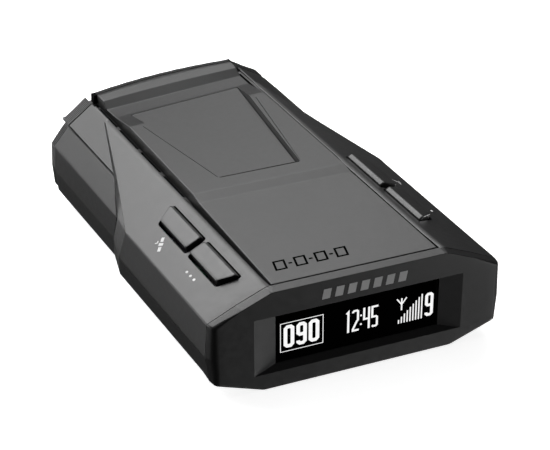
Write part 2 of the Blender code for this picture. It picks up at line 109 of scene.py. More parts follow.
# Centre panel: (half width, y, z, turned with the face, bow of the edge).
PANEL_UNDER = 24.4
PANEL_TOP = [
    (19.95, 2.45, 25.84, True, 0.0),
    (19.3, 37.45, 26.5, True, 0.0),
    (19.2, 40.6, 27.1, True, 0.0),
    (19.0, 76.8, 27.35, False, 0.0),
    (19.0, 84.5, 25.96, False, 0.0),
    (19.2, 89.35, 25.77, False, 0.0),
    (19.1, 91.45, 27.12, False, 0.6),
    (19.2, 94.2, 27.36, False, 1.1),
    (19.1, 95.35, 27.2, False, 1.5),
]
# Ribs round the nose cap, and the dark strip behind the panel's rear edge.
RIB_DEPTH = 0.14
RIB_PITCH = 0.3
RIB_COUNT = 34
RIM_LOW = 24.5
RIM_DEPTH = 1.35
# Where (y) the near-black blocks of painted shade beside the ends of the strip start and end.
SHADE_BLOCK_ENDS = (95.3, 97.1)
# Bracket seat: its floor, the half width and y of its two ends, its line and its walls' slope.
SEAT_FLOOR = 26.1
SEAT_FRONT = (10.0, 45.4)
SEAT_REAR = (15.3, 83.9)
SEAT_LINE = (0.2, 0.3)
SEAT_FLARE = 0.36

# Wings and buttons: the wing plane, then a button's shape across the slope and along its normal.
WING_TOP = (20.7, 25.7)
WING_SLOPE = math.atan2(WING_TOP[1] - FRONT_OUT[3][1], FRONT_OUT[3][0] - WING_TOP[0])
KEY_X = 26.1
KEY_HALF = 2.08
KEY_CLEAR = 0.45
KEY_BEVEL = (0.5, 0.85)
KEY_DRAFT = 0.1
KEY_CLEAR_DOWN = 0.8
KEY_TOP = 1.2
KEY_ROOT = -2.1
# Each button's two ends (y), and which of them is slanted.
KEYS = {"rear": (28.9, 44.0, "far"), "front": (12.3, 27.2, "near")}
KEY_SLANT = 2.2
SLOT_X = (19.72, 20.47)
SLOTS_Y = [(45.7, 56.0), (58.0, 68.2), (69.9, 80.0), (81.7, 91.5)]
NOTCH_START = 92.6

# Display recess: (left, right, low, high) at the face and at its floor.
RECESS_MOUTH = (-25.45, 25.45, 4.34, 19.15)
RECESS_FLOOR = (-19.75, 20.15, 5.75, 18.7)
RECESS_DEPTH = 1.2
WINDOW_BACK = 0.15
WINDOW_THICK = 0.9

# Screw posts and board posts inside.
POSTS = [(20.0, 12.5), (21.0, 84.5)]
POST_SPLIT = 7.2
POST_TOP = 22.9
BOARD_POSTS = [(-20.0, 49.0), (20.0, 49.0)]
BOARD_UNDER = 9.0


# ---------------------------------------------------------------- mesh helpers

def place(x, y, z):
    """A point in metres from millimetres, y counted back from the display's top edge."""
    return Vector((x, y - ORIGIN_BACK, z)) * MM


def face_y(x, z, back=0.0):
    """How far back the display face is at x and z, with a distance behind it."""
    return back - FACE_TURN * x + FACE_LEAN * (z - FACE_TOP)


def mesh_object(name, bm, smooth_below=32.0):
    """An object from a bmesh, smooth except where faces meet at more than an angle."""
    bmesh.ops.recalc_face_normals(bm, faces=bm.faces)
    mesh = bpy.data.meshes.new(name)
    bm.to_mesh(mesh)
    bm.free()
    mesh.shade_smooth()
    mesh.set_sharp_from_angle(angle=math.radians(smooth_below))
    made = bpy.data.objects.new(name, mesh)
    bpy.context.scene.collection.objects.link(made)
    return made


def rounded(line, widths, steps, closed=False):
    """A polyline with its corners turned into short curves that start a width from each corner."""
    points = [Vector(p) for p in line]
    count = len(points)
    out = []
    for i, p in enumerate(points):
        if not closed and i in (0, count - 1):
            out.append(p)
            continue
        before, after = points[i - 1] - p, points[(i + 1) % count] - p
        start = p + before.normalized() * min(widths[i], before.length * 0.45)
        end = p + after.normalized() * min(widths[i], after.length * 0.45)
        for k in range(steps + 1):
            t = k / steps
            out.append(start * (1 - t) ** 2 + p * 2 * t * (1 - t) + end * t * t)
    return out


def both_sides(half, depth, right_half=None):
    """A closed ring of points from a half section: right side up, left side down."""
    right = [(x, depth(x, z, i), z) for i, (x, z) in enumerate(right_half or half)]
    left = [(-x, depth(-x, z, i), z) for i, (x, z) in enumerate(half)]
    return right + left[::-1]


def mirrored(widths):
    """Corner widths for a ring made by both_sides."""
    return widths + widths[::-1]


def same_everywhere(widths):
    """Corner widths that don't change along a loft."""
    table = mirrored(widths)
    return lambda i, point: table[i]


def loft(name, rings, fill_ends=True):
    """A closed body through rings of points with the same count."""
    bm = bmesh.new()
    rows = [[bm.verts.new(place(*p)) for p in ring] for ring in rings]
    for near, far in zip(rows, rows[1:]):
        for i in range(len(near)):
            j = (i + 1) % len(near)
            bm.faces.new((near[i], near[j], far[j], far[i]))
    if fill_ends:
        for row in (rows[0], rows[-1]):
            bm.faces.new(row)
    return mesh_object(name, bm)


def rounded_loft(name, rings, corner_width, fold_widths, steps=3):
    """A loft whose lengthwise lines and sections both have rounded corners."""
    lines = [rounded(line, widths, steps) for line, widths in zip(zip(*rings), fold_widths)]
    sections = []
    for section in zip(*lines):
        widths = [corner_width(i, point) for i, point in enumerate(section)]
        sections.append(rounded(section, widths, steps, closed=True))
    return loft(name, sections)


def box(name, low, high):
    """A block between two corners."""
    x0, y0, z0 = low
    x1, y1, z1 = high
    base = [(x0, y0, z0), (x1, y0, z0), (x1, y1, z0), (x0, y1, z0)]
    return loft(name, [base, [(x, y, z1) for x, y, _ in base]])


def rod(name, centre, radius, length, axis="Z", sides=48):
    """A round bar along an axis, from the middle of its lower end."""
    def ring(along):
        points = []
        for i in range(sides):
            turn = 2 * math.pi * i / sides
            u, v = radius * math.cos(turn), radius * math.sin(turn)
            offset = (u, v, along) if axis == "Z" else (along, u, v)
            points.append(tuple(c + o for c, o in zip(centre, offset)))
        return points
    return loft(name, [ring(0.0), ring(length)])


def prism(name, outline, low, high, across="Z"):
    """A flat outline pushed through from low to high, along Z for (x, y) points or X for (y, z)."""
    if across == "Z":
        return loft(name, [[(x, y, h) for x, y in outline] for h in (low, high)])
    return loft(name, [[(h, y, z) for y, z in outline] for h in (low, high)])


def cut(target, *cutters, operation="DIFFERENCE"):
    """Cuts or joins closed meshes for good, and removes the cutters."""
    for cutter in cutters:
        step = target.modifiers.new("cut", "BOOLEAN")
        step.operation = operation
        step.solver = "EXACT"
        step.object = cutter
    graph = bpy.context.evaluated_depsgraph_get()
    result = bpy.data.meshes.new_from_object(target.evaluated_get(graph))
    target.modifiers.clear()
    target.data = result
    for cutter in cutters:
        bpy.data.objects.remove(cutter, do_unlink=True)
    return target


def join(target, *others):
    """Unites closed meshes with the target."""
    return cut(target, *others, operation="UNION")


def settle(target, smooth_below=32.0):
    """Cleans a cut mesh, and sets which of its edges are sharp."""
    bm = bmesh.new()
    bm.from_mesh(target.data)
    bmesh.ops.remove_doubles(bm, verts=bm.verts, dist=0.002 * MM)
    bmesh.ops.dissolve_degenerate(bm, dist=0.002 * MM, edges=bm.edges)
    bmesh.ops.recalc_face_normals(bm, faces=bm.faces)
    bm.to_mesh(target.data)
    bm.free()
    target.data.shade_smooth()
    target.data.set_sharp_from_angle(angle=math.radians(smooth_below))
    flat = target.modifiers.new("flat", "WEIGHTED_NORMAL")
    flat.keep_sharp = True
    flat.weight = 80
    return target


def crease(target, on_line):
    """Makes sharp the edges whose two ends lie on a line, however small their angle."""
    mesh = target.data
    for edge in mesh.edges:
        if all(on_line(mesh.vertices[i].co) for i in edge.vertices):
            edge.use_edge_sharp = True
    return target


def finish_piece(made, body, slot_name, finish, *nodes):
    """Gives a piece its material and its body, and hides the CAD nodes that it stands for; slot_name is not
    used.
    """
    made.data.materials.clear()
    made.data.materials.append(finish)
    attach(made, body)
    if nodes:
        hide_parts(*nodes)
    return made


# ---------------------------------------------------------------- materials

def new_material(name):
    """An empty node material: (material, its node tree, its shader)."""
    made = bpy.data.materials.new(name)
    made.use_nodes = True
    return made, made.node_tree, made.node_tree.nodes["Principled BSDF"]


def noise(tree, scale, detail=2.0):
    """A noise texture on the piece's own coordinates."""
    where = tree.nodes.new("ShaderNodeTexCoord")
    made = tree.nodes.new("ShaderNodeTexNoise")
    made.inputs["Scale"].default_value = scale
    made.inputs["Detail"].default_value = detail
    tree.links.new(where.outputs["Object"], made.inputs["Vector"])
    return made.outputs["Fac"]


def spread(tree, value, low, high):
    """A value from 0.3..0.7 stretched to low..high."""
    made = tree.nodes.new("ShaderNodeMapRange")
    made.inputs["From Min"].default_value = 0.3
    made.inputs["From Max"].default_value = 0.7
    made.inputs["To Min"].default_value = low
    made.inputs["To Max"].default_value = high
    tree.links.new(value, made.inputs["Value"])
    return made.outputs["Result"]


def blend_colours(tree, value, dark, light):
    """A colour between two, by a noise value."""
    made = tree.nodes.new("ShaderNodeMix")
    made.data_type = "RGBA"
    made.inputs[6].default_value = (*dark, 1.0)
    made.inputs[7].default_value = (*light, 1.0)
    tree.links.new(spread(tree, value, 0.0, 1.0), made.inputs["Factor"])
    return made.outputs[2]


def moulded(name, colour, roughness, grain=0.012, grain_scale=2600.0, specular=0.5, tint=0.06):
    """Moulded plastic: a fine spark texture, and small changes of colour and gloss."""
    made, tree, shader = new_material(name)
    dark = [c * (1 - tint) for c in colour]
    light = [c * (1 + tint) for c in colour]
    tree.links.new(blend_colours(tree, noise(tree, 90.0), dark, light), shader.inputs["Base Color"])
    gloss = spread(tree, noise(tree, 700.0, 3.0), roughness - 0.03, roughness + 0.03)
    tree.links.new(gloss, shader.inputs["Roughness"])
    shader.inputs["Specular IOR Level"].default_value = specular
    bump = tree.nodes.new("ShaderNodeBump")
    bump.inputs["Strength"].default_value = 0.5
    bump.inputs["Distance"].default_value = grain * MM
    tree.links.new(noise(tree, grain_scale, 4.0), bump.inputs["Height"])
    tree.links.new(bump.outputs["Normal"], shader.inputs["Normal"])
    return made


def lit(name, colour, strength):
    """A glowing display segment, its light a little uneven."""
    made, tree, shader = new_material(name)
    shader.inputs["Base Color"].default_value = (0.0, 0.0, 0.0, 1.0)
    dim = [c * 0.9 for c in colour]
    tree.links.new(blend_colours(tree, noise(tree, 900.0), dim, colour), shader.inputs["Emission Color"])
    shader.inputs["Emission Strength"].default_value = strength
    return made


def metal(name, colour, roughness):
    """Brushed or cast metal: the gloss changes along fine lines."""
    made, tree, shader = new_material(name)
    shader.inputs["Metallic"].default_value = 1.0
    dark = [c * 0.85 for c in colour]
    tree.links.new(blend_colours(tree, noise(tree, 400.0), dark, colour), shader.inputs["Base Color"])
    tree.links.new(spread(tree, noise(tree, 1800.0, 4.0), roughness - 0.08, roughness + 0.08),
                   shader.inputs["Roughness"])
    return made


BODY_GREY = (0.02, 0.02, 0.0203)
MATERIALS = {
    "housing_plastic": moulded("housing_plastic_look", BODY_GREY, 0.35),
    "panel_plastic": moulded("panel_plastic_look", BODY_GREY, 0.35),
    "bezel_plastic": moulded("bezel_plastic_look", (0.016, 0.016, 0.0163), 0.35),
    "key_plastic": moulded("key_plastic_look", BODY_GREY, 0.33, grain=0.006),
    "window_plastic": moulded("window_plastic_look", (0.001, 0.001, 0.001), 0.06, grain=0.0, specular=0.03,
                              tint=0.3),
    "nose_plastic": moulded("nose_plastic_look", BODY_GREY, 0.37),
    "rim_plastic": moulded("rim_plastic_look", (0.006, 0.006, 0.006), 0.45, specular=0.3, tint=0.2),
    "foam_black": moulded("foam_black_look", (0.002, 0.002, 0.002), 0.8, specular=0.05, tint=0.3),
    "board_green": moulded("board_green_look", (0.02, 0.12, 0.05), 0.35, tint=0.25),
    "chip_black": moulded("chip_black_look", (0.012, 0.012, 0.012), 0.5),
    "cast_metal": metal("cast_metal_look", (0.62, 0.62, 0.61), 0.45),
    "steel": metal("steel_look", (0.55, 0.55, 0.56), 0.32),
    "ceramic": moulded("ceramic_look", (0.7, 0.62, 0.48), 0.5, tint=0.12),
    "flex_amber": moulded("flex_amber_look", (0.45, 0.2, 0.03), 0.3, tint=0.2),
    "cone_black": moulded("cone_black_look", (0.015, 0.015, 0.015), 0.85, grain=0.03, tint=0.3),
    "lens_clear": moulded("lens_clear_look", (0.25, 0.02, 0.03), 0.08, grain=0.0, tint=0.1),
}
SCREEN_WHITE = lit("screen_white", (1.0, 1.0, 1.0), 0.98)
PRINT_GREY = moulded("print_grey", (0.62, 0.62, 0.62), 0.5, tint=0.1)
PRINT_WHITE = moulded("print_white", (0.75, 0.75, 0.75), 0.5, tint=0.06)
# Near-black with no reflection: painted shade of engraved grooves.
GROOVE_SHADE_BLACK = moulded("painted_groove_shade", (0.002, 0.002, 0.002), 0.8, specular=0.0, tint=0.3)


# ---------------------------------------------------------------- housing shells

def end_line(shift):
    """Plan outline (x, y) of the housing's road end: straight across the channel, raked on the wings."""
    side = HOUSING_END - HOUSING_RAKE * (45.0 - RAKE_START) + shift
    middle = HOUSING_END + shift
    return [(-45.0, side), (-RAKE_START, middle), (RAKE_START, middle), (45.0, side)]


def right_crest(crest):
    """The right wing's crest: its inner edge stands a little further from the centre panel."""
    moved = [(x + CREST_OFFSET, z - drop) for (x, z), drop in zip(crest[1:4], CREST_DROP)]
    return crest[:1] + moved + [(x + CREST_OFFSET, z) for x, z in crest[4:]]


def housing_wall(name):
    """The whole hollow housing before it is parted into its two shells."""
    def front(x, z, i):
        return face_y(x, z, BEZEL_DEPTH + SEAM_GAP)

    def before_front(x, z, i):
        return front(x, z, i) - 1.0

    def at(ys):
        return lambda x, z, i: ys[i]

    def section(sides, crest, depth):
        return both_sides(sides + crest, depth, sides + right_crest(crest))

    count = len(ROUND_OUT)
    rings = [section(SEAM_OUT[:4], CREST_SEAM, front),
             section(FRONT_OUT, CREST_FRONT, at([CREST_RISE] * count)),
             section(FRONT_OUT, CREST_FRONT, at([LEDGE_START[0]] * count)),
             section(FRONT_OUT, CREST_REAR, at([LEDGE_START[1]] * count)),
             section(FRONT_OUT, CREST_REAR, at(FOLD_FRONT)),
             section(REAR_OUT, CREST_END, at(FOLD_REAR)),
             section(REAR_OUT, CREST_END, at([NOSE_END] * count))]
    outer = rounded_loft(name, rings, same_everywhere(ROUND_OUT), [FOLD_WIDTHS] * (2 * count))
    past_nose = [NOSE_END + 1.0] * len(REAR_IN)
    inner = loft("hollow", [both_sides(FRONT_IN, before_front), both_sides(FRONT_IN, at(FOLD_FRONT)),
                            both_sides(REAR_IN, at(FOLD_REAR)), both_sides(REAR_IN, at(past_nose))])
    beyond = prism("beyond", end_line(0.0) + [(45.0, 110.0), (-45.0, 110.0)], -10.0, 40.0)
    return cut(outer, inner, beyond)


def shifted(line, distances):
    """A polyline moved sideways by a distance at each of its points, with its corners mitred."""
    moved = []
    for i, (y, z) in enumerate(line):
        normals = []
        for a, b in ((i - 1, i), (i, i + 1)):
            if a < 0 or b >= len(line):
                continue
            run = Vector(line[b]) - Vector(line[a])
            normals.append(Vector((-run.y, run.x)).normalized())
        mean = sum(normals, Vector((0.0, 0.0))).normalized()
        reach = distances[i] / mean.dot(normals[0])
        moved.append((y + mean.x * reach, z + mean.y * reach))
    return moved


def on_wing(side, u, y, height):
    """A point (x, y, z) on a wing: u down its slope from the buttons' line, height along its normal."""
    x = KEY_X + u * math.cos(WING_SLOPE) + height * math.sin(WING_SLOPE)
    foot = WING_TOP[1] - math.tan(WING_SLOPE) * (KEY_X - WING_TOP[0])
    z = foot - u * math.sin(WING_SLOPE) + height * math.cos(WING_SLOPE)
    return side * x, y, z


def key_outline(ends, grow=0.0, flare=0.0):
    """A button's corners (u, y) on its wing, u running down the slope, one end cut on a slant."""
    near, far, slanted = ends
    near_out, far_out = near, far
    if slanted == "far":
        far_out = far - KEY_SLANT
    else:
        near_out = near + KEY_SLANT
    down = KEY_HALF + KEY_DRAFT * flare / KEY_BEVEL[0] + grow * KEY_CLEAR_DOWN / KEY_CLEAR
    up = -KEY_HALF - grow - flare
    return [(up, near - grow), (down, near_out - grow), (down, far_out + grow), (up, far + grow)]


def upper_shell():
    """Upper housing: everything above the parting line, with its openings and screw posts."""
    shell = housing_wall("upper_shell")
    line = shifted(PARTING, GROOVE)
    cut(shell, prism("below", line + [(120.0, -10.0), (-20.0, -10.0)], -45.0, 45.0, "X"))
    posts = []
    bores = []
    for x, y in POSTS:
        for side in (-1, 1):
            foot = POST_SPLIT + GAP
            posts.append(rod("post", (side * x, y, foot), 3.0, POST_TOP - foot))
            bores.append(rod("bore", (side * x, y, 0.0), 1.3, 16.4))
    join(shell, *posts)
    for side in (-1, 1):
        for ends in KEYS.values():
            outline = [(u, y, 0.0) for u, y in key_outline(ends, KEY_CLEAR, KEY_BEVEL[0])]
            outline = rounded(outline, [0.9] * 4, 4, closed=True)
            rings = [[on_wing(side, p.x, p.y, height) for p in outline] for height in (-4.0, 4.0)]
            bores.append(loft("key_hole", rings))
        for near, far in SLOTS_Y:
            a, b = sorted((side * SLOT_X[0], side * SLOT_X[1]))
            bores.append(box("slot", (a, near, 21.0), (b, far, 26.0)))
        a, b = sorted((side * 19.0, side * 21.1))
        bores.append(box("notch", (a, NOTCH_START, 22.9), (b, 100.0, 30.0)))
    bores.append(rod("jack_mouth", (31.0, 20.0, 14.2), 2.6, 8.0, axis="X"))
    return settle(cut(shell, *bores))


def lower_shell():
    """Lower housing: the tray below the parting line, with screw bosses and board posts."""
    shell = housing_wall("lower_shell")
    line = shifted(PARTING, [-half for half in GROOVE])
    cut(shell, prism("above", line + [(120.0, 60.0), (-20.0, 60.0)], -45.0, 45.0, "X"))
    bosses = []
    bores = []
    for x, y in POSTS:
        for side in (-1, 1):
            bosses.append(rod("boss", (side * x, y, 0.8), 3.7, POST_SPLIT - 0.8))
            bores.append(rod("head_bore", (side * x, y, -1.0), 2.6, 3.2))
            bores.append(rod("shank_bore", (side * x, y, -1.0), 1.3, 12.0))
    for x, y in BOARD_POSTS:
        bosses.append(rod("board_post", (x, y, 0.8), 2.6, BOARD_UNDER - GAP - 0.8))
        bores.append(rod("board_post_bore", (x, y, 4.0), 1.0, 9.0))
    join(shell, *bosses)
    return settle(cut(shell, *bores))


# ---------------------------------------------------------------- display frame and window

def on_face(x, z, back=0.0):
    """A point (x, y, z) a distance behind the display face."""
    return x, face_y(x, z, back), z


def rectangle(sides, back, grow=0.0):
    """The corners of a rectangle a distance behind the display face."""
    left, right, low, high = sides
    left, right, low, high = left - grow, right + grow, low - grow, high + grow
    return [on_face(x, z, back) for x, z in ((left, low), (right, low), (right, high), (left, high))]


def shrunk(half, by):
    """A half section moved in by a small distance towards the middle of the face."""
    width, middle = FACE_HALF
    return [(x * (1 - by / width), middle + (z - middle) * (1 - by / middle)) for x, z in half]


def on_recess_rim(point):
    """Whether a point lies where the recess opens in the display face."""
    x, y, z = point.x / MM, point.y / MM + ORIGIN_BACK, point.z / MM
    left, right, low, high = RECESS_MOUTH
    inside = left - 0.2 < x < right + 0.2 and low - 0.2 < z < high + 0.2
    return inside and abs(y - face_y(x, z)) < 0.03


def display_frame():
    """Display frame: its face with a rounded rim, the sloped recess, the window opening and the skirt."""
    layers = [(shrunk(FACE_OUT, 3.0), 0.0), (FACE_OUT, 0.0), (SEAM_OUT, BEZEL_DEPTH),
              (SKIRT_OUT, BEZEL_DEPTH), (SKIRT_OUT, SKIRT_DEPTH)]
    rings = [both_sides(half, lambda x, z, i, back=back: face_y(x, z, back)) for half, back in layers]
    corners = same_everywhere([0.6, 0.5, 0.4, 0.35, 0.3, 0.25, 0.1])
    folds = [[fold] * 2 + [0.08] * 3 for fold in mirrored([0.5, 1.2, 1.8, 1.2, 0.15, 0.12, 0.12])]
    made = rounded_loft("display_frame", rings, corners, folds)
    grow = 0.01
    recess = loft("recess", [rectangle(RECESS_MOUTH, -grow, grow), rectangle(RECESS_FLOOR, RECESS_DEPTH),
                             rectangle(RECESS_FLOOR, SKIRT_DEPTH + 2.0)])
    return crease(settle(cut(made, recess)), on_recess_rim)


def display_glass():
    """The smoked window, its front edge rounded."""
    front = RECESS_DEPTH + WINDOW_BACK
    profile = [(0.0, 0.12), (0.02, 0.05), (0.1, 0.0), (WINDOW_THICK, 0.0)]
    rings = [rectangle(RECESS_FLOOR, front + back, -GAP - inset) for back, inset in profile]
    return settle(loft("display_glass", rings))


# ---------------------------------------------------------------- centre panel and nose

def panel_row(x_share, drop):
    """The panel's side profile at a share of its half width, its top lowered near the side edges."""
    points = []
    for half, y, z, turned, bow in PANEL_TOP:
        x = x_share * half
        skew = -FACE_TURN * x if turned else 0.0
        points.append((x, y + skew + bow * (1 - x_share ** 2), z - drop))
    for x, y, _ in (points[-1], points[0]):
        points.append((x, y, PANEL_UNDER))
    return points


def top_panel():
    """Centre panel: one profile swept across the channel, with rounded ridges and the bracket seat."""
    widths = [0.25, 0.3, 0.3, 0.4, 0.3, 0.15, 0.15, 0.3, 0.6, 0.1, 0.1]
    radius = 0.2
    left = [(-1 + radius * (1 - math.cos(math.radians(d))) / 19.2, radius * (1 - math.sin(math.radians(d))))
            for d in (0, 22, 45, 67, 90)]
    right = [(-share, drop) for share, drop in reversed(left)]
    rows = left + [(-0.66, 0.0), (-0.33, 0.0), (0.0, 0.0), (0.33, 0.0), (0.66, 0.0)] + right
    made = loft("top_panel", [rounded(panel_row(s, d), widths, 4, closed=True) for s, d in rows])
    half_front, y_front = SEAT_FRONT
    half_rear, y_rear = SEAT_REAR
    skew = FACE_TURN * half_front
    outline = [(-half_front, y_front + skew), (half_front, y_front - skew), (half_rear, y_rear),
               (-half_rear, y_rear)]
    flared = [(x + math.copysign(SEAT_FLARE * (30.0 - SEAT_FLOOR), x), y) for x, y in outline]
    cut(made, loft("seat", [[(x, y, SEAT_FLOOR) for x, y in outline], [(x, y, 30.0) for x, y in flared]]))
    # A narrow groove just ahead of the seat, and one beside each of its sloped walls.
    front_line = [(-half_front, y_front + skew - 0.36), (half_front, y_front - skew - 0.36),
                  (half_front + 0.3, y_front - skew - 0.06), (-half_front - 0.3, y_front + skew - 0.06)]
    cut(made, prism("front_line", front_line, SEAT_FLOOR + 0.5, 30.0))
    for side in (-1, 1):
        edges = [(side * (half + SEAT_FLARE * 1.1), y) for half, y in
                 ((half_front, y_front - side * skew + 0.2), (half_rear, y_rear - 8.5))]
        outer = [(x + side * 0.26, y) for x, y in edges]
        inner = [(x + side * 0.1, y) for x, y in edges]
        cut(made, prism("side_line", inner + outer[::-1], 27.0, 30.0))
    # The line round the seat's floor.
    ring = prism("line", outline, SEAT_FLOOR - SEAT_LINE[1], 30.0)
    cut(ring, prism("inside", inset_outline(outline, SEAT_LINE[0]), 20.0, 31.0))
    return settle(cut(made, ring), 28.0)


def crest_rim():
    """The dark ribbed strip along the panel's rear edge."""
    half, y, z, _, bow = PANEL_TOP[-1]
    rows = []
    for k in range(17):
        share = -1.0 + k / 8.0
        back = y + bow * (1 - share ** 2)
        drop = 0.06 * (k % 2)
        profile = [(-0.05, RIM_LOW), (RIM_DEPTH, RIM_LOW), (RIM_DEPTH, z - 0.18 - drop),
                   (0.3, z - 0.02 - drop), (-0.05, z - drop)]
        rows.append([(share * half, back + past, height) for past, height in profile])
    return settle(loft("crest_rim", rows))


def valley_shade_block(side):
    """A near-black block that fills the valley beside an end of the ribbed strip: painted shade of the gap
    there, its finish taking almost no light.
    """
    a, b = sorted((side * 19.05, side * 19.95))
    top = PANEL_TOP[-1][2] - 0.3
    near, far = SHADE_BLOCK_ENDS
    edge = 0.15
    outline = [(near, RIM_LOW), (far, RIM_LOW), (far, top - edge), (far - edge, top), (near + edge, top),
               (near, top - edge)]
    name = "valley_shade_block_left" if side < 0 else "valley_shade_block_right"
    return settle(prism(name, outline, a, b, "X"))


def road_cap():
    """Nose cap that closes the road end: its rim carries fine ribs round the section."""
    rings = []
    for k in range(RIB_COUNT + 1):
        y = HOUSING_END - 4.0 + RIB_PITCH * k
        half = shrunk(NOSE_OUT, 0.0 if k % 2 else RIB_DEPTH)
        rings.append(both_sides(half, lambda x, z, i, y=y: y - HOUSING_RAKE * abs(x) / 2))
    corners = same_everywhere([0.4, 0.4, 0.3, 0.3, 0.25, 0.1, 0.2, 0.3])
    made = rounded_loft("road_cap", rings, corners, [[0.1] * len(rings)] * (2 * len(NOSE_OUT)), 2)
    afters = []
    for plan, low, high in ((NOSE_PLAN, NOSE_SPLIT, 40.0), (NOSE_PLAN_LOW, -10.0, NOSE_SPLIT)):
        road_face = [(-x, y) for x, y in reversed(plan)] + plan
        afters.append(prism("after_nose", road_face + [(33.0, 110.0), (-33.0, 110.0)], low, high))
    before = prism("before_nose", end_line(GAP)[::-1] + [(-45.0, 60.0), (45.0, 60.0)], -10.0, 40.0)
    channel = box("nose_channel", (-21.1, 90.0, 24.1), (21.1, 105.0, 30.0))
    opening = box("nose_opening", (-24.0, 90.0, 4.0), (24.0, 105.0, 20.0))
    return settle(cut(made, before, *afters, channel, opening))


def road_window():
    """The dark window in the nose cap, slightly bowed, with rounded edges."""
    rings = []
    for y, inset in ((96.2, 0.5), (96.1, 0.15), (95.8, 0.0), (94.6, 0.0)):
        x, low, high = 23.7 - inset, 4.3 + inset, 19.7 - inset
        corners = [(-x, y, low), (x, y, low), (x, y, high), (-x, y, high)]
        rings.append(rounded(corners, [0.8] * 4, 4, closed=True))
    return settle(loft("road_window", rings))


# ---------------------------------------------------------------- buttons

def inset_outline(outline, distance):
    """A convex outline moved in by a distance, its corners mitred."""
    moved = []
    count = len(outline)
    for i in range(count):
        a, b, c = Vector(outline[i - 1]), Vector(outline[i]), Vector(outline[(i + 1) % count])
        n1, n2 = (b - a).normalized(), (c - b).normalized()
        n1, n2 = Vector((-n1.y, n1.x)), Vector((-n2.y, n2.x))
        mean = (n1 + n2).normalized()
        moved.append(tuple(b + mean * distance / mean.dot(n1)))
    return moved


def key_cap(name, side, ends):
    """A push button: a bevel on its uphill side, rounded corners, and a slightly crowned top."""
    rings = []
    reach, drop = KEY_BEVEL
    profile = [(0.0, KEY_TOP - KEY_ROOT), (0.0, drop), (0.0, 0.3), (0.03, 0.17), (0.1, 0.07), (0.25, 0.02),
               (0.5, 0.0), (1.2, 0.0)]
    for inset, below in profile:
        height = KEY_TOP - below
        flare = reach * min(1.0, max(0.0, KEY_TOP - 0.1 - height) / (drop - 0.1))
        outline = [(u, y, 0.0) for u, y in inset_outline(key_outline(ends, 0.0, flare), inset)]
        outline = rounded(outline, [max(0.05, 0.65 - inset * 0.3)] * 4, 4, closed=True)
        rings.append([on_wing(side, p.x, p.y, height) for p in outline])
    return settle(loft(name, rings))


# ---------------------------------------------------------------- printed marks and the lit screen

def stroke(points, width, closed=False):
    """Quads of a line with a width: corners are mitred."""
    pts = [Vector(p) for p in points]
    count = len(pts)
    sides = []
    for i, p in enumerate(pts):
        ahead = pts[(i + 1) % count] if closed or i < count - 1 else None
        behind = pts[i - 1] if closed or i > 0 else None
        normals = []
        if behind is not None:
            run = (p - behind).normalized()
            normals.append(Vector((-run.y, run.x)))
        if ahead is not None:
            run = (ahead - p).normalized()
            normals.append(Vector((-run.y, run.x)))
        mean = sum(normals, Vector((0.0, 0.0))).normalized()
        reach = width / 2 / mean.dot(normals[0])
        sides.append((tuple(p + mean * reach), tuple(p - mean * reach)))
    quads = []
    for i in range(count if closed else count - 1):
        a, b = sides[i], sides[(i + 1) % count]
        quads.append([a[0], a[1], b[1], b[0]])
    return quads


def decal(name, shapes, to_point, low, high):
    """Flat shapes as thin closed solids: to_point(u, v, height) gives each corner."""
    bm = bmesh.new()
    known = {}

    def vert(p, height):
        key = (round(p[0], 5), round(p[1], 5), height)
        if key not in known:
            known[key] = bm.verts.new(place(*to_point(p[0], p[1], height)))
        return known[key]

    rims = {}
    for shape in shapes:
        bm.faces.new([vert(p, high) for p in shape])
        bm.faces.new([vert(p, low) for p in reversed(shape)])
        for a, b in zip(shape, shape[1:] + shape[:1]):
            ka, kb = (round(a[0], 5), round(a[1], 5)), (round(b[0], 5), round(b[1], 5))
            if (kb, ka) in rims:
                del rims[(kb, ka)]
            else:
                rims[(ka, kb)] = (a, b)
    for a, b in rims.values():
        bm.faces.new((vert(a, high), vert(a, low), vert(b, low), vert(b, high)))
    return mesh_object(name, bm)


def moved_shapes(shapes, dx, dy):
    """Shapes moved by an offset."""
    return [[(x + dx, y + dy) for x, y in shape] for shape in shapes]


def digit(char, width, height, weight):
    """Quads of a heavy condensed digit, one of 0 1 2 4 5 9, in a box from (0, 0)."""
    h, w, s = height, width, weight
    l, r, b, t = s / 2, w - s / 2, s / 2, h - s / 2
    m = h * 0.47
    c = s * 0.5
    if char == "0":
        return stroke([(l + c, b), (r - c, b), (r, b + c), (r, t - c), (r - c, t), (l + c, t), (l, t - c),
                       (l, b + c)], s, True)
    if char == "1":
        return stroke([(w / 2 - s * 0.9, t - s * 0.9), (w / 2, t), (w / 2, 0.0)], s)
    if char == "2":
        return stroke([(l, t - s), (l, t - c), (l + c, t), (r - c, t), (r, t - c), (r, m + c),
                       (r - c, m - c * 0.2), (l, b + s * 0.75), (l, b), (w, b)], s)
    if char == "4":
        return stroke([(l, h), (l, m), (r, m)], s) + stroke([(r, h), (r, 0.0)], s)
    if char == "5":
        bend = m + s * 0.2
        return stroke([(w, t), (l, t), (l, bend), (r - c, bend), (r, bend - c), (r, b + c), (r - c, b),
                       (l + c, b), (l, b + c)], s)
    # The one that is left is a nine.
    loop = stroke([(r, m + c), (r, t - c), (r - c, t), (l + c, t), (l, t - c), (l, m + c), (l + c, m),
                   (r - c, m)], s, True)
    tail = stroke([(r, m + c), (r, b + c), (r - c, b), (l + c, b), (l, b + c), (l, b + s * 0.9)], s)
    return loop + tail


def digits(text, left, low, widths, height, weight, gap):
    """A row of digits; a colon is two squares."""
    shapes = []
    x = left
    for char, width in zip(text, widths):
        if char == ":":
            for share in (0.27, 0.68):
                y = low + height * share
                shapes.append([(x, y - width / 2), (x + width, y - width / 2), (x + width, y + width / 2),
                               (x, y + width / 2)])
        else:
            shapes += moved_shapes(digit(char, width, height, weight), x, low)
        x += width + gap
    return shapes


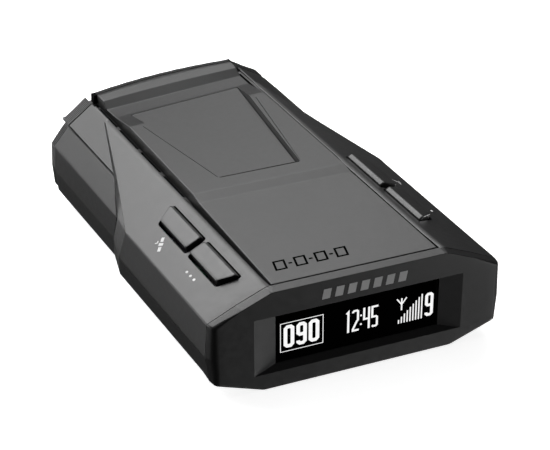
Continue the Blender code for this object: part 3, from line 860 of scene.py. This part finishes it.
def screen_graphics():
    """What the display shows: a framed number, a clock, signal bars, an aerial mark and a digit."""
    def to_point(u, v, height):
        return on_face(u, v, RECESS_DEPTH + WINDOW_BACK - height)

    groups = {
        "screen_frame": stroke([(-18.5, 8.2), (-8.3, 8.2), (-8.3, 15.7), (-18.5, 15.7)], 0.16, True),
        "screen_number_a": digits("0", -17.75, 9.1, [2.55], 5.95, 0.88, 0.0),
        "screen_number_b": digits("9", -14.7, 9.1, [2.5], 5.95, 0.86, 0.0),
        "screen_number_c": digits("0", -11.75, 9.1, [2.55], 5.95, 0.88, 0.0),
        "screen_clock": digits("12:45", -2.75, 9.15, [1.2, 1.7, 0.42, 1.7, 1.7], 5.75, 0.5, 0.3),
        "screen_digit": digits("9", 16.9, 8.6, [2.1], 6.3, 0.72, 0.0),
    }
    bars = []
    for k in range(9):
        x = 10.37 + 0.716 * k
        top = 9.35 + 5.65 * k / 8
        bars.append([(x - 0.16, 8.35), (x + 0.16, 8.35), (x + 0.16, top), (x - 0.16, top)])
    groups["screen_bars"] = bars
    groups["screen_aerial_mast"] = stroke([(11.0, 11.9), (11.0, 15.1)], 0.36)
    groups["screen_aerial_fork"] = stroke([(9.8, 15.1), (11.0, 13.4), (12.2, 15.1)], 0.32)
    for name, shapes in groups.items():
        made = decal(name, shapes, to_point, -0.03, 0.015)
        finish_piece(made, "housing", "window_plastic", SCREEN_WHITE)


def face_mark():
    """A plain row of slanted bars printed above the display."""
    def to_point(u, v, height):
        return on_face(u, v, -height)

    bars = []
    low, high, lean = 20.75, 23.25, 0.45
    for k in range(7):
        x = -9.4 + 3.07 * k
        width = 1.9
        bars.append([(x, low), (x + width, low), (x + width + lean, high), (x + lean, high)])
    finish_piece(decal("face_mark", bars, to_point, -0.03, 0.012), "housing", "bezel_plastic", PRINT_GREY)


def panel_mark():
    """Thin engraved outlines and dashes near the front of the centre panel, drawn as flat near-black strokes:
    painted shade of the grooves, which are not cut.
    """
    y0, z0 = PANEL_TOP[0][1:3]
    y1, z1 = PANEL_TOP[1][1:3]
    slope = (z1 - z0) / (y1 - y0)

    def to_point(u, v, height):
        return u, v - FACE_TURN * u, z0 + slope * (v - y0) + height

    shapes = []
    x = -16.4
    for k in range(4):
        outline = [(x, 6.9), (x + 2.4, 6.9), (x + 3.2, 9.9), (x + 0.8, 9.9)]
        shapes += stroke(outline, 0.5, True)
        if k < 3:
            shapes += stroke([(x + 3.6, 8.4), (x + 4.5, 8.4)], 0.5)
        x += 4.9
    finish_piece(decal("panel_mark", shapes, to_point, -0.05, 0.008), "housing", "panel_plastic", GROOVE_SHADE_BLACK)


def ring_shape(cx, cy, radius, sides=12):
    """A small round dot."""
    return [(cx + radius * math.cos(2 * math.pi * i / sides), cy + radius * math.sin(2 * math.pi * i / sides))
            for i in range(sides)]


def wing_mark(name, side, shapes, finish):
    """A small pictogram printed on a wing: shapes are in (u, y), u counted from the middle."""
    def to_point(u, v, height):
        return on_wing(side, u - KEY_X / math.cos(WING_SLOPE), v, height)

    finish_piece(decal(name, shapes, to_point, -0.03, 0.012), "housing", "housing_plastic", finish)


def wing_marks():
    """The pictograms beside the buttons."""
    def along(x):
        return x / math.cos(WING_SLOPE)

    u = along(31.0)
    wing_mark("mark_dots", -1, [ring_shape(u, y, 0.36) for y in (23.4, 21.7, 20.05)], PRINT_WHITE)
    u = along(31.2)
    satellite = stroke([(u - 1.5, 37.3), (u - 0.55, 36.35)], 0.75)
    satellite += stroke([(u + 0.55, 35.25), (u + 1.5, 34.3)], 0.75)
    satellite += stroke([(u - 0.4, 35.4), (u + 0.4, 36.2)], 0.85)
    wing_mark("mark_satellite", -1, satellite, PRINT_WHITE)
    waves = stroke([(u + 0.9, 37.2), (u + 0.35, 36.9), (u - 0.1, 37.3)], 0.28)
    wing_mark("mark_waves", -1, waves, PRINT_WHITE)
    u = along(31.4)
    lines = stroke([(u - 0.7, 34.2), (u + 0.5, 33.0), (u + 0.5, 31.8)], 0.2)
    lines += stroke([(u + 0.9, 33.8), (u + 0.9, 32.4)], 0.2)
    wing_mark("mark_lines", 1, lines, PRINT_GREY)
    wing_mark("mark_spot", 1, [ring_shape(along(31.84), 18.8, 0.36)], PRINT_WHITE)


# ---------------------------------------------------------------- build

def build():
    """Makes every visible piece, and gives the CAD nodes that stay their materials."""
    look = MATERIALS
    finish_piece(upper_shell(), "housing", "housing_plastic", look["housing_plastic"], "upper_housing")
    finish_piece(lower_shell(), "housing", "housing_plastic", look["housing_plastic"], "lower_housing")
    finish_piece(display_frame(), "housing", "bezel_plastic", look["bezel_plastic"], "front_bezel")
    finish_piece(display_glass(), "housing", "window_plastic", look["window_plastic"], "display_window")
    finish_piece(top_panel(), "housing", "panel_plastic", look["panel_plastic"], "center_panel")
    finish_piece(crest_rim(), "housing", "housing_plastic", look["rim_plastic"])
    # Near-black blocks with the foam finish: painted shade in the valleys beside the ribbed strip.
    for side in (-1, 1):
        finish_piece(valley_shade_block(side), "housing", "housing_plastic", look["foam_black"])
    finish_piece(road_cap(), "housing", "housing_plastic", look["nose_plastic"], "nose_cap")
    finish_piece(road_window(), "housing", "window_plastic", look["window_plastic"], "nose_window")
    for side, side_name in ((-1, "left"), (1, "right")):
        for end_name, ends in KEYS.items():
            tag = "%s_%s" % (side_name, end_name)
            cap = key_cap("key_cap_" + tag, side, ends)
            finish_piece(cap, "key_" + tag, "key_plastic", look["key_plastic"], "button_" + tag)
    screen_graphics()
    face_mark()
    panel_mark()
    wing_marks()
    slots = {row["node"]: row["material_slot"] for row in frame["record"]["subparts"]}
    for name, node in frame["nodes"].items():
        node.data.materials.clear()
        node.data.materials.append(look[slots[name]])


# ---------------------------------------------------------------- stage, lights and camera

CAMERA_TURN = math.radians(-31.041)
CAMERA_RISE = math.radians(33.928)
CAMERA_ROLL = math.radians(1.811)
CAMERA_AT = Vector((-0.17624, -0.30196, 0.24562))
CAMERA_LENS = 113.24


def camera():
    """The photograph's viewpoint."""
    data = bpy.data.cameras.new("camera")
    data.lens = CAMERA_LENS
    data.sensor_width = 36.0
    data.clip_start = 0.01
    made = bpy.data.objects.new("camera", data)
    bpy.context.scene.collection.objects.link(made)
    level = math.cos(CAMERA_RISE)
    back = Vector((math.sin(CAMERA_TURN) * level, -math.cos(CAMERA_TURN) * level, math.sin(CAMERA_RISE)))
    right = Vector((math.cos(CAMERA_TURN), math.sin(CAMERA_TURN), 0.0))
    up = back.cross(right)
    right, up = (right * math.cos(CAMERA_ROLL) + up * math.sin(CAMERA_ROLL),
                 up * math.cos(CAMERA_ROLL) - right * math.sin(CAMERA_ROLL))
    turn = Matrix((right, up, back)).transposed()
    made.matrix_world = Matrix.Translation(CAMERA_AT) @ turn.to_4x4()
    bpy.context.scene.camera = made


LAMP_SIZE = 0.42
LAMP_DISTANCE = 0.8
# Round soft lights: name, azimuth from +Y towards -X, elevation (degrees), power (watts).
LAMPS = [
    ("rear", 13.0, 26.0, 1.13),
    ("rear_left", 39.0, 26.0, 1.23),
    ("rear_right_far", 321.0, 26.0, 0.43),
    ("rear_right", 347.0, 26.0, 0.09),
    ("rear_high", 0.0, 50.0, 2.73),
    ("left_high", 36.0, 50.0, 1.99),
    ("right_high", 324.0, 50.0, 1.33),
    ("top_right", 270.0, 72.0, 0.77),
    ("low_left", 30.0, -12.0, 0.13),
    ("low_side", 60.0, -12.0, 2.21),
    ("low_front", 180.0, -12.0, 0.17),
    ("low_front_right", 210.0, -12.0, 0.79),
    ("low_right", 270.0, -12.0, 2.0),
    ("low_rear", 0.0, -12.0, 2.0),
    ("under_front", 240.0, -56.0, 3.27),
]
WORLD_LIGHT = 0.02


def lamp(name, azimuth, elevation, power):
    """A round area light that faces the object."""
    a, e = math.radians(azimuth), math.radians(elevation)
    towards = Vector((-math.sin(a) * math.cos(e), math.cos(a) * math.cos(e), math.sin(e)))
    data = bpy.data.lights.new(name, "AREA")
    data.shape = "DISK"
    data.energy = power
    data.size = LAMP_SIZE
    made = bpy.data.objects.new(name, data)
    bpy.context.scene.collection.objects.link(made)
    made.location = Vector((0.0, 0.0, 0.012)) + towards * LAMP_DISTANCE
    made.rotation_euler = towards.to_track_quat("Z", "Y").to_euler()


def stage():
    """A plain white floor that lights nothing and shades nothing, and the world's soft light."""
    bm = bmesh.new()
    bmesh.ops.create_grid(bm, x_segments=4, y_segments=4, size=6.0)
    bmesh.ops.translate(bm, vec=(0, 0, -0.00005), verts=bm.verts)
    floor = mesh_object("floor", bm)
    made, _, shader = new_material("floor_white")
    shader.inputs["Base Color"].default_value = (0.9, 0.9, 0.9, 1.0)
    shader.inputs["Roughness"].default_value = 0.9
    shader.inputs["Emission Color"].default_value = (1.0, 1.0, 1.0, 1.0)
    shader.inputs["Emission Strength"].default_value = 0.86
    floor.data.materials.append(made)
    floor.visible_diffuse = False
    floor.visible_glossy = False
    floor.visible_shadow = False
    world = bpy.data.worlds.new("world")
    world.use_nodes = True
    world.node_tree.nodes["Background"].inputs["Color"].default_value = (1.0, 1.0, 1.0, 1.0)
    world.node_tree.nodes["Background"].inputs["Strength"].default_value = WORLD_LIGHT
    bpy.context.scene.world = world
    bpy.context.scene.view_settings.view_transform = "Standard"


camera()
build()
stage()
for row in LAMPS:
    lamp(*row)
